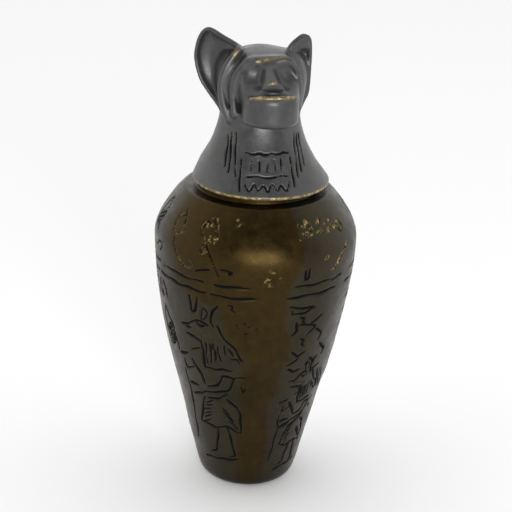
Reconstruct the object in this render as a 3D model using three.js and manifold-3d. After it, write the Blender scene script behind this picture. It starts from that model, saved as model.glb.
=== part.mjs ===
// A small cast-bronze canopic jar with an animal-headed lid, in millimetres, +Z up.
// The origin is the middle of the underside, and the face of the lid looks along -Y.
// Both castings are hollow: the lid's plug hangs inside the mouth of the jar and its
// flat underside rests on the low neck ring around the mouth.

import * as THREE from "three";
import { SimplifyModifier } from "three/addons/modifiers/SimplifyModifier.js";
import { mergeVertices } from "three/addons/utils/BufferGeometryUtils.js";
import Module from "manifold-3d";

const wasm = await Module();
wasm.setup();

// ---------------------------------------------------------------- driving dimensions

const SEAT_LEVEL = 100; // where the lid rests on the neck ring
const LEDGE_LEVEL = 98; // flat ledge at the top of the shoulder
const LEDGE_RADIUS = 22.2;
const NECK_RADIUS = 18.4;
const MOUTH_RADIUS = 16.4;
const MOUTH_DEPTH = 8;
const WALL = 2.6;
const FLOOR = 3.5;

// Outer wall of the jar, [radius, height], from the foot to the edge of the ledge.
const JAR_OUTLINE = [
  [15.4, 0.9],
  [17.4, 8],
  [21.2, 25],
  [26.1, 45],
  [29.4, 63],
  [31.05, 80],
  [30.1, 87],
  [25.8, 94],
  [LEDGE_RADIUS, LEDGE_LEVEL],
];
const FOOT_RADIUS = 14.2; // flat underside, inside its rounded edge

// Outer skirt of the lid, [radius, height], from the lip up to the neck.
const LID_OUTLINE = [
  [20.6, 100.9],
  [19.7, 102.4],
  [17.9, 105.4],
  [14.9, 110.6],
  [12.6, 115.6],
  [11.4, 119.6],
  [11.2, 124],
];
const LIP_RADIUS = 20.3; // lower edge of the lid's lip
const LIP_SHIFT = [1, -0.4]; // the lip was cast a little off the axis, along X and Y
const LIP_SHIFT_RISE = 6; // the shift fades out over this height
const PLUG_RADIUS = 15.8;
const PLUG_BORE = 13.4;
const PLUG_DEPTH = 5;
const HEAD_JOIN = 111; // the turned skirt ends here and the modelled head begins

// Dome of the hollow inside the lid, [radius, height].
const LID_HOLLOW = [
  [PLUG_BORE, SEAT_LEVEL + 2],
  [12.4, 106],
  [9.6, 112],
  [8.2, 117],
  [6.6, 121.5],
  [3.6, 124.4],
];

const OUTER_SIDES = 56; // sides of the turned surfaces that show
const INNER_SIDES = 36; // sides of the hollows
const HEAD_CELL = 1.1; // grid spacing of the modelled head
const JAR_TRIANGLES = 5100;
const LID_TRIANGLES = 4900;
const GROOVE_WIDTH = 1.3;
const GROOVE_DEPTH = 0.8;
const GROOVE_STEP = 7.5; // longest straight piece of a groove, so that it follows the wall
const CUTTER_PROUD = 0.35; // how far a groove's cutter stands out of the wall
const FIGURE_SCALE_RADIUS = 26; // engraved drawings are laid out in mm on this radius

const DEGREE = Math.PI / 180;

// ---------------------------------------------------------------- solids and geometries

// A closed geometry as a manifold-3d solid: shared vertices merged, collapsed faces dropped.
function solidOf(geometry) {
  const bare = new THREE.BufferGeometry();
  bare.setAttribute("position", geometry.getAttribute("position"));
  if (geometry.index) bare.setIndex(geometry.index);
  const merged = mergeVertices(bare, 1e-4);
  const index = merged.index.array;
  const kept = [];
  for (let i = 0; i < index.length; i += 3) {
    const [a, b, c] = [index[i], index[i + 1], index[i + 2]];
    if (a !== b && b !== c && c !== a) kept.push(a, b, c);
  }
  return new wasm.Manifold(
    new wasm.Mesh({
      numProp: 3,
      vertProperties: new Float32Array(merged.attributes.position.array),
      triVerts: new Uint32Array(kept),
    }),
  );
}

function geometryOf(solid) {
  const mesh = solid.getMesh();
  const geometry = new THREE.BufferGeometry();
  geometry.setAttribute("position", new THREE.BufferAttribute(mesh.vertProperties, 3));
  geometry.setIndex(new THREE.BufferAttribute(mesh.triVerts, 1));
  geometry.computeVertexNormals();
  return geometry;
}

// The same solid with fewer triangles, kept where it bends most. Thinning can pinch two
// walls together along an edge, so a few more triangles are allowed until it doesn't.
async function lightened(solid, triangles) {
  const geometry = geometryOf(solid);
  geometry.deleteAttribute("normal");
  const step = 20;
  for (let allowed = triangles; ; allowed += step) {
    const surplus = (solid.numTri() - allowed) / 2; // a closed surface has half as many vertices
    const light = await new SimplifyModifier().modify(geometry, Math.round(surplus));
    const body = largestBody(solidOf(light));
    if (!isPinched(body)) return body;
  }
}

// Whether more than two faces of a solid meet along an edge.
function isPinched(solid) {
  const { vertProperties, triVerts } = solid.getMesh();
  const spot = (v) => Array.from(vertProperties.subarray(3 * v, 3 * v + 3), (c) => c.toFixed(4)).join();
  const spots = Array.from({ length: vertProperties.length / 3 }, (_, v) => spot(v));
  const edges = new Set();
  for (let i = 0; i < triVerts.length; i += 3)
    for (let side = 0; side < 3; side += 1) {
      const edge = spots[triVerts[i + side]] + ">" + spots[triVerts[i + ((side + 1) % 3)]];
      if (edges.has(edge)) return true;
      edges.add(edge);
    }
  return false;
}

// The main body of a solid, without the specks that a cut can leave beside it.
function largestBody(solid) {
  return solid.decompose().sort((a, b) => b.volume() - a.volume())[0];
}

// A turned solid from a profile of [radius, height] that starts and ends on the axis.
function turned(profile, sides) {
  const points = profile.map(([radius, height]) => new THREE.Vector2(radius, height));
  const geometry = new THREE.LatheGeometry(points, sides);
  geometry.rotateX(Math.PI / 2);
  return solidOf(geometry);
}

// A smooth run of [radius, height] through the named points of an outline.
function smoothRun(outline, steps) {
  const curve = new THREE.SplineCurve(outline.map(([r, z]) => new THREE.Vector2(r, z)));
  return curve.getPoints(steps).map((p) => [p.x, p.y]);
}

// Radius of a run of [radius, height] at a height, between its points.
function radiusAt(run, height) {
  const last = run.length - 1;
  if (height <= run[0][1]) return run[0][0];
  if (height >= run[last][1]) return run[last][0];
  let i = 1;
  while (run[i][1] < height) i += 1;
  const [r0, z0] = run[i - 1];
  const [r1, z1] = run[i];
  return r0 + ((r1 - r0) * (height - z0)) / (z1 - z0);
}

const jarWall = smoothRun(JAR_OUTLINE, 26);
const lidWall = smoothRun(LID_OUTLINE, 12);

// ---------------------------------------------------------------- engraving

// A point on a turned wall: angle in radians from the front, positive towards +X.
function onWall(wall, angle, height) {
  const radius = radiusAt(wall, height);
  return new THREE.Vector3(radius * Math.sin(angle), -radius * Math.cos(angle), height);
}

// Outward normal of a turned wall.
function wallNormal(wall, angle, height) {
  const reach = 0.5;
  const slope = (radiusAt(wall, height + reach) - radiusAt(wall, height - reach)) / (2 * reach);
  return new THREE.Vector3(Math.sin(angle), -Math.cos(angle), -slope).normalize();
}

// One straight chisel cut: a three-sided prism, point down, with its flat face just outside.
function chiselCut(wall, from, to, width, depth) {
  const a = onWall(wall, ...from);
  const b = onWall(wall, ...to);
  const along = b.clone().sub(a);
  const length = along.length() + 0.5 * width;
  along.normalize();
  const normal = wallNormal(wall, (from[0] + to[0]) / 2, (from[1] + to[1]) / 2);
  const across = new THREE.Vector3().crossVectors(along, normal).normalize();
  const outward = new THREE.Vector3().crossVectors(across, along);
  // Across, outward: the two upper corners of its section, then its point.
  const height = CUTTER_PROUD + depth;
  const topWidth = (width * height) / depth;
  const section = new THREE.Shape([
    new THREE.Vector2(-topWidth / 2, CUTTER_PROUD),
    new THREE.Vector2(0, -depth),
    new THREE.Vector2(topWidth / 2, CUTTER_PROUD),
  ]);
  const prism = new THREE.ExtrudeGeometry(section, { depth: length, bevelEnabled: false });
  prism.translate(0, 0, -length / 2);
  const middle = a.add(b).multiplyScalar(0.5);
  const place = new THREE.Matrix4().makeBasis(across, outward, along.negate());
  prism.applyMatrix4(place.setPosition(middle));
  return solidOf(prism);
}

// Cuts a set of strokes into a solid. A stroke is a run of [angle, height] and a weight.
function engrave(solid, wall, strokes) {
  let cutters = null;
  for (const { points, weight } of strokes) {
    for (let i = 1; i < points.length; i += 1) {
      const [from, to] = [points[i - 1], points[i]];
      const span = onWall(wall, ...from).distanceTo(onWall(wall, ...to));
      const pieces = Math.max(1, Math.ceil(span / GROOVE_STEP));
      const at = (k) => from.map((value, axis) => value + ((to[axis] - value) * k) / pieces);
      for (let k = 0; k < pieces; k += 1) {
        const cut = chiselCut(wall, at(k), at(k + 1), GROOVE_WIDTH * weight, GROOVE_DEPTH * weight);
        cutters = cutters ? cutters.add(cut) : cut;
      }
    }
  }
  return solid.subtract(cutters);
}

// Strokes drawn in mm about the middle of a panel: x to the right, z is the true height.
function drawing(centreDegrees, lines, weight = 1) {
  const toWall = ([x, z]) => [centreDegrees * DEGREE + x / FIGURE_SCALE_RADIUS, z];
  return lines.map((line) => ({ points: line.map(toWall), weight }));
}

// A level line with gaps, as a list of [from, to] in degrees.
function brokenRing(height, spans) {
  return spans.map(([from, to]) => ({
    points: [
      [from * DEGREE, height],
      [to * DEGREE, height],
    ],
    weight: 1,
  }));
}

// n lines side by side, blended from a first line to a last one.
function fan(first, last, count) {
  const blend = (t) => first.map((p, i) => p.map((v, axis) => v + (last[i][axis] - v) * t));
  return Array.from({ length: count }, (_, k) => blend(count > 1 ? k / (count - 1) : 0));
}

// A striding attendant in kilt and wig, with an animal's head and a staff. facing is -1 for
// one that looks towards -x. All levels are fractions of its height above the ground line.
function attendant({ ground, height, facing }) {
  const level = (share) => ground + share * height;
  const x = (value) => -value * facing * height / 50; // drawn looking to -x, 50 mm tall
  const line = (...points) => points.map(([px, share]) => [x(px), level(share)]);
  const lines = [
    line([-9, 0], [9, 0]), // ground line
    line([1, 0.24], [-1, 0.06], [-4, 0.04]), // forward leg and foot
    line([4, 0.27], [7.5, 0.05], [4.5, 0.03]), // rear leg and foot
    line([-5.5, 0.3], [-1, 0.24], [4, 0.27], [9.8, 0.25]), // hem of the kilt
    line([-5.5, 0.3], [-6.8, 0.48]),
    line([9.8, 0.25], [9, 0.44], [6, 0.52]), // apron behind
    line([-6.8, 0.48], [6, 0.52]), // belt
    line([-6.8, 0.48], [-9.2, 0.74]), // chest
    line([6, 0.52], [7.4, 0.58], [8.2, 0.69], [5, 0.73], [-1, 0.71]), // rear arm
    line([-8, 0.56], [1, 0.57], [4, 0.66]), // forward arm, bent across
    line([-9.4, 0.93], [-6, 0.97], [-2, 0.98]), // muzzle, upper line
    line([-9.4, 0.93], [-5, 0.91], [-1.8, 0.92]), // muzzle, lower line
    line([-2, 0.98], [-0.5, 1.13], [1.5, 1.0]), // pricked ear
    line([1.5, 1.0], [7, 0.94], [11, 0.78]), // back of the wig
    line([-1.8, 0.92], [-1, 0.74]), // front of the wig
  ];
  const wigStrands = fan(line([1, 0.93], [0.8, 0.76]), line([5.6, 0.92], [5.8, 0.78]), 4);
  const kiltPleats = fan(line([-1.5, 0.46], [-3.5, 0.33]), line([5, 0.48], [8.4, 0.3]), 4);
  const staff = line([-8.8, 0.8], [-9.8, 0.44], [-11.8, 0.12]);
  return [...lines, ...wigStrands, ...kiltPleats, staff];
}

// A lotus bud on a curved stem that hangs down and sweeps to one side.
function lotus({ top, width, drop, sweep }) {
  const half = width / 2;
  const foot = top - 1.25 * width;
  const bend = foot - drop;
  const bud = [[-half, foot + half], [0, top], [half, foot + half], [0, foot], [-half, foot + half]];
  const stem = [
    [0, foot],
    [-0.3 * sweep, foot - 0.5 * drop],
    [0.4 * sweep, bend],
    [sweep, bend + 0.15 * drop],
  ];
  return [bud, stem];
}

// A feather standing in an outline, hatched across.
function feather({ foot, top, width, hatches }) {
  const half = width / 2;
  const outline = [
    [-half, foot],
    [-half, top - width],
    [0, top],
    [half, top - width],
    [half, foot],
  ];
  const hatch = (z) => [[-0.8 * half, z], [0.8 * half, z + 0.6 * width]];
  return [outline, ...fan(hatch(foot), hatch(top - 1.6 * width), hatches)];
}

// A short column of plain marks: chevrons and bars that are no letters.
function marks({ top, width, pitch, count }) {
  const half = width / 2;
  return Array.from({ length: count }, (_, k) => {
    const z = top - k * pitch;
    return k % 2
      ? [[-half, z], [half, z - 0.2 * pitch]]
      : [[-half, z], [0, z - 0.45 * pitch], [half, z]];
  });
}

const RING_UPPER = 76.5;
const RING_LOWER = 72.8;
// Arcs of the two engraved rings, in degrees from the front; the plain band is left open.
const UPPER_ARCS = [[-66, -31], [-23, -7], [15, 52], [60, 118], [130, 172], [184, 230], [240, 286]];
const LOWER_ARCS = [[-56, -34], [-31, -7], [12, 46], [56, 112], [122, 170], [178, 226], [236, 292]];

const jarStrokes = [
  ...brokenRing(RING_UPPER, UPPER_ARCS),
  ...brokenRing(RING_LOWER, LOWER_ARCS),
  ...drawing(-36, attendant({ ground: 10.5, height: 50, facing: -1 })),
  ...drawing(36, attendant({ ground: 7, height: 38, facing: -1 })),
  ...drawing(104, attendant({ ground: 10.5, height: 48, facing: 1 })),
  ...drawing(-112, attendant({ ground: 10.5, height: 48, facing: 1 })),
  ...drawing(180, feather({ foot: 30, top: 66, width: 7, hatches: 6 })),
  ...drawing(-70, feather({ foot: 48, top: 68, width: 4.5, hatches: 6 })),
  ...drawing(-44, [[[-1.4, 72], [0.3, 64.6], [1.6, 70.6]]]),
  ...drawing(-28, marks({ top: 69.5, width: 4, pitch: 3.2, count: 2 })),
  ...drawing(22, marks({ top: 69.5, width: 7, pitch: 4.6, count: 5 })),
  ...drawing(66, marks({ top: 66, width: 5, pitch: 5, count: 6 })),
  ...drawing(-62, lotus({ top: 94, width: 4, drop: 9, sweep: 7 })),
  ...drawing(-36, lotus({ top: 95, width: 4.6, drop: 4, sweep: -1.5 })),
  ...drawing(34, lotus({ top: 94, width: 4.6, drop: 6, sweep: 4 })),
  ...drawing(62, lotus({ top: 93, width: 4, drop: 7, sweep: -5 })),
  ...drawing(-92, feather({ foot: 84, top: 95, width: 3.4, hatches: 2 })),
  ...drawing(84, feather({ foot: 84, top: 95, width: 3.4, hatches: 2 })),
];

// ---------------------------------------------------------------- distance fields of the head

const length3 = (x, y, z) => Math.sqrt(x * x + y * y + z * z);
const clamp01 = (value) => Math.min(1, Math.max(0, value));

function blend(a, b, reach) {
  const overlap = Math.max(reach - Math.abs(a - b), 0) / reach;
  return Math.min(a, b) - (overlap * overlap * reach) / 4;
}

const carve = (a, b, reach) => -blend(-a, b, reach);

// Distance to an ellipsoid, lengthened along X by a flat half length.
function ellipsoid([x, y, z], [cx, cy, cz], [rx, ry, rz], flat = 0) {
  const dx = Math.max(Math.abs(x - cx) - flat, 0);
  const [dy, dz] = [y - cy, z - cz];
  const inner = length3(dx / rx, dy / ry, dz / rz);
  const outer = length3(dx / (rx * rx), dy / (ry * ry), dz / (rz * rz));
  return outer > 0 ? (inner * (inner - 1)) / outer : -Math.min(rx, ry, rz);
}

// Distance to a round bar whose radius runs from ra to rb.
function bar([x, y, z], a, b, ra, rb = ra) {
  const [ux, uy, uz] = [b[0] - a[0], b[1] - a[1], b[2] - a[2]];
  const [px, py, pz] = [x - a[0], y - a[1], z - a[2]];
  const t = clamp01((px * ux + py * uy + pz * uz) / (ux * ux + uy * uy + uz * uz));
  return length3(px - t * ux, py - t * uy, pz - t * uz) - (ra + t * (rb - ra));
}

function ridge(p, points, radius) {
  let nearest = Infinity;
  for (let i = 1; i < points.length; i += 1) {
    nearest = Math.min(nearest, bar(p, points[i - 1], points[i], radius));
  }
  return nearest;
}

// Distance to an upright round drum with softened edges.
function drum([x, y, z], [cx, cy], radius, low, high, soft) {
  const across = Math.hypot(x - cx, y - cy) - radius + soft;
  const up = Math.abs(z - (low + high) / 2) - (high - low) / 2 + soft;
  return Math.min(Math.max(across, up), 0) + Math.hypot(Math.max(across, 0), Math.max(up, 0)) - soft;
}

// An ear is a dished shell in an upright plane. Its outline is a closed curve in that plane,
// [out from the root, height]; turn is how far the plane is swung back, side is -1 or 1.
const EARS = [
  {
    side: -1,
    root: [-12, -1],
    turn: 26,
    dish: 4.2,
    dishTop: 150,
    outline: [
      [-5.8, 140.4], [0.4, 143.6], [4.6, 145.2], [7.4, 142.4], [8.6, 136.4],
      [7, 130.2], [4.4, 126.4], [0.8, 122.4], [-1.8, 120.8], [-1, 126], [-1.8, 132], [-4.4, 137.4],
    ],
  },
  {
    side: 1,
    root: [9.6, -2],
    turn: 24,
    dish: 4,
    dishTop: 140,
    outline: [
      [-2.4, 140.6], [1, 143.5], [3, 143.9], [4.9, 142.6], [5.6, 138.4],
      [5.5, 131], [5.2, 126.6], [3.8, 124.2], [1.6, 122.8], [0.6, 126], [0, 132], [-1, 137],
    ],
  },
];
const EAR_THICKNESS = 2.2;
const EAR_RIM = 1.1; // radius of the rounded rim
const EAR_BOWL_RUN = 4; // how far in from the rim the dish reaches its full depth
const EAR_REACH = 13; // nothing of an ear lies farther than this from its root
const EAR_FOOT = 115; // or lower than this

for (const ear of EARS) {
  const points = ear.outline.map(([u, z]) => new THREE.Vector3(u, z, 0));
  const curve = new THREE.CatmullRomCurve3(points, true, "catmullrom", 0.5);
  ear.loop = curve.getPoints(44).map((p) => [p.x, p.y]);
}

// Signed distance to a closed loop in its plane, negative inside.
function loopDistance(loop, u, z) {
  let nearest = Infinity;
  let inside = false;
  for (let i = 1; i < loop.length; i += 1) {
    const [u0, z0] = loop[i - 1];
    const [u1, z1] = loop[i];
    const [du, dz] = [u1 - u0, z1 - z0];
    const t = clamp01(((u - u0) * du + (z - z0) * dz) / (du * du + dz * dz));
    nearest = Math.min(nearest, Math.hypot(u - u0 - t * du, z - z0 - t * dz));
    if (z0 > z !== z1 > z && u < u0 + ((z - z0) * du) / dz) inside = !inside;
  }
  return inside ? -nearest : nearest;
}

const FAR_AWAY = 9; // stands for any distance too long to touch the head

function earField([x, y, z], ear) {
  const swing = ear.turn * DEGREE;
  const [dx, dy] = [(x - ear.root[0]) * ear.side, y - ear.root[1]];
  if (Math.abs(dx) > EAR_REACH || Math.abs(dy) > EAR_REACH || z < EAR_FOOT) return FAR_AWAY;
  const out = dx * Math.cos(swing) + dy * Math.sin(swing);
  const front = dx * Math.sin(swing) - dy * Math.cos(swing);
  const rim = loopDistance(ear.loop, out, z);
  const run = clamp01(-rim / EAR_BOWL_RUN);
  const depth = ear.dish * clamp01((ear.dishTop - z) / 2);
  const bowl = depth * (1 - (1 - run) ** 2);
  const steepness = Math.hypot(1, (2 * depth * (1 - run)) / EAR_BOWL_RUN);
  const proud = (front + bowl) / steepness;
  const shell = Math.max(proud, -proud - EAR_THICKNESS);
  const bead = Math.hypot(rim + EAR_RIM, front + EAR_RIM) - EAR_RIM;
  return blend(carve(rim + EAR_RIM, -shell, 1), bead, 0.8);
}

const FACE = 0.4; // the face sits this far to the +X side of the axis

// Raised rim of the headcloth on each side of the face, and the fold beside the left ear.
const CLOTH_RIMS = [
  [[FACE - 6.4, -8.4, 138.6], [FACE - 8.8, -8.2, 134], [FACE - 9.2, -8.4, 129], [FACE - 8.4, -9, 124]],
  [[FACE + 6.8, -8.8, 138.6], [FACE + 9.2, -8, 134.4], [FACE + 9.8, -8, 130], [FACE + 9, -8.6, 125]],
  [[-8.2, -3.8, 139.6], [-11.4, -5, 134.4], [-12.6, -5, 128], [-11.4, -5.6, 122.6]],
];

// Upper lip, arched up in the middle.
const LIP = [
  [FACE - 6.6, -16, 128.5], [FACE - 3.8, -18.4, 129.3], [FACE, -19.2, 129.7],
  [FACE + 3.8, -18.4, 129.5], [FACE + 6.8, -16, 128.9],
];

function headField(p) {
  const [x, y, z] = p;
  const aside = Math.abs(x - FACE);
  const mirrored = [aside, y, z];
  const wall = Math.hypot(x, y) - radiusAt(lidWall, z);
  const neck = Math.max(wall * 0.92, z - 122);
  let d = ellipsoid(p, [FACE, 1, 130.4], [5.6, 12, 8.9], 4.4); // skull
  d = blend(d, ellipsoid(p, [FACE, -3.6, 134], [4, 7, 5.2], 4.2), 2); // forehead
  d = blend(d, bar(p, [0, 3.5, 130], [0, 1.5, 114], 9.4, 11), 3); // headcloth down the nape
  d = blend(d, neck, 4);
  d = blend(d, bar(p, [FACE - 4, -9.8, 137.6], [FACE + 4, -9.8, 137.6], 1.7), 2); // brow
  d = blend(d, bar(p, [FACE, -9, 135.2], [FACE, -14.4, 131.9], 3, 2.9), 2); // bridge of the nose
  d = blend(d, ellipsoid(mirrored, [6.4, -8.6, 128.6], [3.2, 4.4, 5]), 2.5); // cheeks
  d = blend(d, ellipsoid(p, [FACE, -10.6, 128], [7.4, 7, 4.8]), 2.5); // upper muzzle
  d = carve(d, ellipsoid(mirrored, [4.9, -10.6, 135], [2.5, 2.5, 2.6]), 1.4); // eye sockets
  d = blend(d, drum(p, [FACE, -15.4], 3, 130.3, 133.4, 0.7), 1); // flat-fronted nose
  d = blend(d, drum(p, [FACE, -11.8], 8.1, 120.6, 129.2, 1.5), 1.2); // blunt jaw
  d = blend(d, ridge(p, LIP, 1), 1.2);
  for (const rim of CLOTH_RIMS) d = blend(d, ridge(p, rim, 1.1), 1.6);
  for (const ear of EARS) {
    const backing = ellipsoid(p, [ear.side * 9.4, 2.5, 131.5], [3.6, 5, 7.6]);
    d = blend(d, backing, 3);
    d = blend(d, earField(p, ear), 1.6);
  }
  return d;
}

// ---------------------------------------------------------------- field to faces

// A cube's corners are numbered by their bits, and its six tetrahedra share a diagonal.
const CORNERS = [0, 1, 2, 3, 4, 5, 6, 7].map((c) => [c & 1, (c >> 1) & 1, (c >> 2) & 1]);
const TETRAHEDRA = [
  [0, 1, 3, 7],
  [0, 3, 2, 7],
  [0, 2, 6, 7],
  [0, 6, 4, 7],
  [0, 4, 5, 7],
  [0, 5, 1, 7],
];
// Orders of a tetrahedron's corners that keep its handedness, one for each group of corners
// inside: those inside come first, or the only one outside does.
const CORNER_ORDERS = {
  1: [0, 1, 2, 3],
  2: [1, 2, 0, 3],
  4: [2, 0, 1, 3],
  8: [3, 0, 2, 1],
  3: [0, 1, 2, 3],
  5: [0, 2, 3, 1],
  9: [0, 3, 1, 2],
  6: [1, 2, 0, 3],
  10: [1, 3, 2, 0],
  12: [2, 3, 0, 1],
  14: [0, 1, 2, 3],
  13: [1, 2, 0, 3],
  11: [2, 0, 1, 3],
  7: [3, 0, 2, 1],
};

// A closed geometry on the zero level of a field, by marching tetrahedra.
function polygonised(field, low, high, cell) {
  const size = low.map((value, axis) => Math.ceil((high[axis] - value) / cell) + 1);
  const at = (i, j, k) => i + size[0] * (j + size[1] * k);
  const place = (...ijk) => ijk.map((value, axis) => low[axis] + value * cell);
  const onBorder = (...ijk) => ijk.some((value, axis) => value === 0 || value === size[axis] - 1);
  const values = new Float64Array(size[0] * size[1] * size[2]);
  const everyPlace = (counts, visit) => {
    for (let k = 0; k < counts[2]; k += 1)
      for (let j = 0; j < counts[1]; j += 1)
        for (let i = 0; i < counts[0]; i += 1) visit(i, j, k);
  };
  everyPlace(size, (i, j, k) => {
    values[at(i, j, k)] = onBorder(i, j, k) ? cell : field(place(i, j, k));
  });

  const positions = [];
  const vertexOf = new Map();
  const closest = 0.08; // a vertex keeps this share of its edge away from the grid's corners
  const crossing = (p, q) => {
    const [a, b] = at(...p) < at(...q) ? [p, q] : [q, p];
    const key = at(...a) * values.length + at(...b);
    if (!vertexOf.has(key)) {
      const [va, vb] = [values[at(...a)], values[at(...b)]];
      const t = Math.min(1 - closest, Math.max(closest, va / (va - vb)));
      vertexOf.set(key, positions.length / 3);
      positions.push(...place(...a.map((value, axis) => value + t * (b[axis] - value))));
    }
    return vertexOf.get(key);
  };

  const faces = [];
  const cells = size.map((count) => count - 1);
  everyPlace(cells, (i, j, k) => {
    const corners = CORNERS.map(([di, dj, dk]) => [i + di, j + dj, k + dk]);
    const solid = corners.map((c) => values[at(...c)] < 0);
    if (solid.every((inside) => inside === solid[0])) return;
    for (const tetrahedron of TETRAHEDRA) {
      const group = tetrahedron.reduce((sum, c, bit) => sum + (solid[c] ? 1 << bit : 0), 0);
      const order = CORNER_ORDERS[group];
      if (!order) continue;
      const [a, b, c, d] = order.map((n) => corners[tetrahedron[n]]);
      const inside = tetrahedron.filter((n) => solid[n]).length;
      if (inside === 1) faces.push(crossing(a, b), crossing(a, c), crossing(a, d));
      if (inside === 3) faces.push(crossing(a, b), crossing(a, d), crossing(a, c));
      if (inside === 2) {
        const [ac, ad, bd, bc] = [crossing(a, c), crossing(a, d), crossing(b, d), crossing(b, c)];
        faces.push(ac, ad, bd, ac, bd, bc);
      }
    }
  });
  const geometry = new THREE.BufferGeometry();
  geometry.setAttribute("position", new THREE.Float32BufferAttribute(positions, 3));
  geometry.setIndex(faces);
  return geometry;
}

// ---------------------------------------------------------------- jar

function jarSolid() {
  const innerWall = jarWall
    .filter(([, z]) => z > FLOOR + 4 && z < SEAT_LEVEL - MOUTH_DEPTH - 4)
    .filter((_, i) => i % 2 === 0)
    .map(([r, z]) => [r - WALL, z]);
  const floorRadius = radiusAt(jarWall, FLOOR) - 1.6 * WALL;
  const outside = [
    [0, 0],
    [FOOT_RADIUS, 0],
    ...jarWall,
    [NECK_RADIUS, LEDGE_LEVEL],
    [NECK_RADIUS, SEAT_LEVEL],
    [0, SEAT_LEVEL],
  ];
  const inside = [
    [0, FLOOR],
    [floorRadius, FLOOR],
    ...innerWall,
    [MOUTH_RADIUS, SEAT_LEVEL - MOUTH_DEPTH],
    [MOUTH_RADIUS, SEAT_LEVEL + 1],
    [0, SEAT_LEVEL + 1],
  ];
  return turned(outside, OUTER_SIDES).subtract(turned(inside, INNER_SIDES));
}

// ---------------------------------------------------------------- lid

function lidSolid() {
  const low = [-24, -24, HEAD_JOIN - 4];
  const high = [20, 18, 149];
  const head = solidOf(polygonised(headField, low, high, HEAD_CELL));
  const below = new THREE.BoxGeometry(80, 80, 20).translate(0, 0, HEAD_JOIN - 10);
  const skirt = [
    [0, SEAT_LEVEL],
    [LIP_RADIUS, SEAT_LEVEL],
    ...lidWall.filter(([, z]) => z < HEAD_JOIN - 0.3),
    [radiusAt(lidWall, HEAD_JOIN), HEAD_JOIN],
    [0, HEAD_JOIN],
  ];
  const plug = [
    [0, SEAT_LEVEL - PLUG_DEPTH],
    [PLUG_RADIUS, SEAT_LEVEL - PLUG_DEPTH],
    [PLUG_RADIUS, SEAT_LEVEL + 1],
    [0, SEAT_LEVEL + 1],
  ];
  const hollow = [
    [0, SEAT_LEVEL - PLUG_DEPTH - 1],
    [PLUG_BORE, SEAT_LEVEL - PLUG_DEPTH - 1],
    ...smoothRun(LID_HOLLOW, 6),
    [0, LID_HOLLOW.at(-1)[1]],
  ];
  return head
    .subtract(solidOf(below))
    .add(turned(skirt, OUTER_SIDES))
    .add(turned(plug, INNER_SIDES))
    .subtract(turned(hollow, INNER_SIDES));
}

// Slides the lid's lip sideways, most at its lower edge; the plug inside it stays round.
function shiftLip(geometry) {
  const position = geometry.getAttribute("position");
  for (let i = 0; i < position.count; i += 1) {
    const [x, y, z] = [position.getX(i), position.getY(i), position.getZ(i)];
    const share = clamp01((SEAT_LEVEL + LIP_SHIFT_RISE - z) / LIP_SHIFT_RISE);
    if (z < SEAT_LEVEL - 0.1 || Math.hypot(x, y) < PLUG_RADIUS + 0.4) continue;
    position.setXYZ(i, x + share * LIP_SHIFT[0], y + share * LIP_SHIFT[1], z);
  }
  return geometry;
}

// Pectoral hung on the chest: border, bars, a rule and a zigzag fringe, with bundles of
// hair on both sides of it.
function pectoral() {
  const half = 8.2;
  const lines = [
    [[-half, 102.4], [-half + 0.6, 110.5]],
    [[half, 102.4], [half - 0.6, 110.5]],
    [[-half + 1.6, 112], [half - 1.6, 112]],
    [[-half + 2, 106], [half - 2, 106]],
  ];
  lines.push(...fan([[-4.6, 107.4], [-4.4, 110.4]], [[4.6, 107.4], [4.4, 110.4]], 5));
  const teeth = 5;
  const pitch = (2 * half - 3) / teeth;
  const fringe = Array.from({ length: 2 * teeth + 1 }, (_, k) => [
    -half + 1.5 + (k * pitch) / 2,
    k % 2 ? 102.2 : 104.3,
  ]);
  lines.push(fringe);
  for (const side of [-1, 1]) {
    lines.push(...fan([[side * 9.6, 105.5], [side * 9.2, 117]], [[side * 13, 107.5], [side * 12, 116]], 3));
  }
  return lines.map((line) => ({
    points: line.map(([x, z]) => [(x + FACE) / radiusAt(lidWall, z), z]),
    weight: 0.75,
  }));
}

// ---------------------------------------------------------------- scene graph

const jarBronze = new THREE.MeshStandardMaterial({ color: 0x4a3a1e, roughness: 0.42, metalness: 0.9 });
const lidBronze = new THREE.MeshStandardMaterial({ color: 0x37352f, roughness: 0.45, metalness: 0.9 });

const engravedJar = await lightened(engrave(jarSolid(), jarWall, jarStrokes), JAR_TRIANGLES);
const jar = new THREE.Mesh(geometryOf(engravedJar), jarBronze);
jar.name = "jar";

const engravedLid = await lightened(engrave(lidSolid(), lidWall, pectoral()), LID_TRIANGLES);
const lid = new THREE.Mesh(shiftLip(geometryOf(engravedLid)), lidBronze);
lid.name = "lid";

const canopicJar = new THREE.Group();
canopicJar.add(jar, lid);

export default canopicJar;
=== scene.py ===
# Looks of a small bronze canopic jar with an animal-headed lid, built around its CAD frame.
# Shapes are worked out in millimetres, the face looking along -Y, and placed in metres.

import math

import bpy
import numpy as np
import openvdb
from mathutils import Matrix, Vector


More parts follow.
